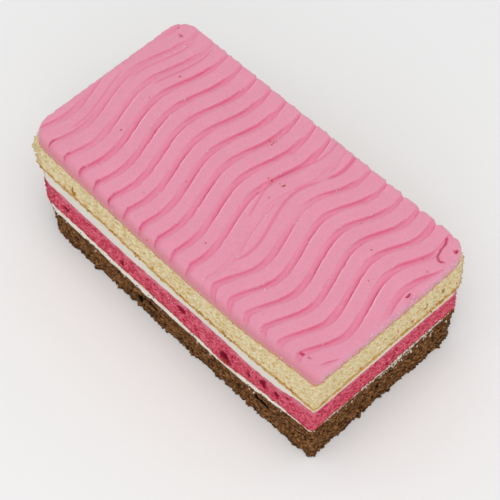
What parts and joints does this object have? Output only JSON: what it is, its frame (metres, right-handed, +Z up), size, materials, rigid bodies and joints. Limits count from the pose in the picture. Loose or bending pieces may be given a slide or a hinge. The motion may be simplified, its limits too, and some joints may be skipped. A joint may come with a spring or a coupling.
{
  "type": "rainbow sponge cake slice",
  "caption": "Oblong layer cake slice: chocolate, pink and vanilla sponges with whipped cream between them and wave-combed pink icing on top.",
  "frame": {"origin": "middle of the base, on the surface that the slice rests on", "axes": "+X along the slice to its short cut end, +Y across it away from the long cut side, +Z up through the icing"},
  "size_m": [0.1704, 0.0919, 0.0604],
  "materials": {
    "chocolate_sponge": "open brown chocolate crumb, dry and matt",
    "cream": "smooth off-white whipped cream, soft satin",
    "pink_sponge": "open deep pink crumb, matt, browned at the foot",
    "vanilla_sponge": "fine pale yellow crumb, matt, with a golden crust at the foot",
    "icing": "pink butter icing, combed in waves, soft satin"
  },
  "bodies": {
    "root": {"sponge_chocolate": "chocolate_sponge", "cream_lower": "cream", "sponge_pink": "pink_sponge", "cream_upper": "cream", "sponge_vanilla": "vanilla_sponge", "icing": "icing"}
  },
  "joints": []
}
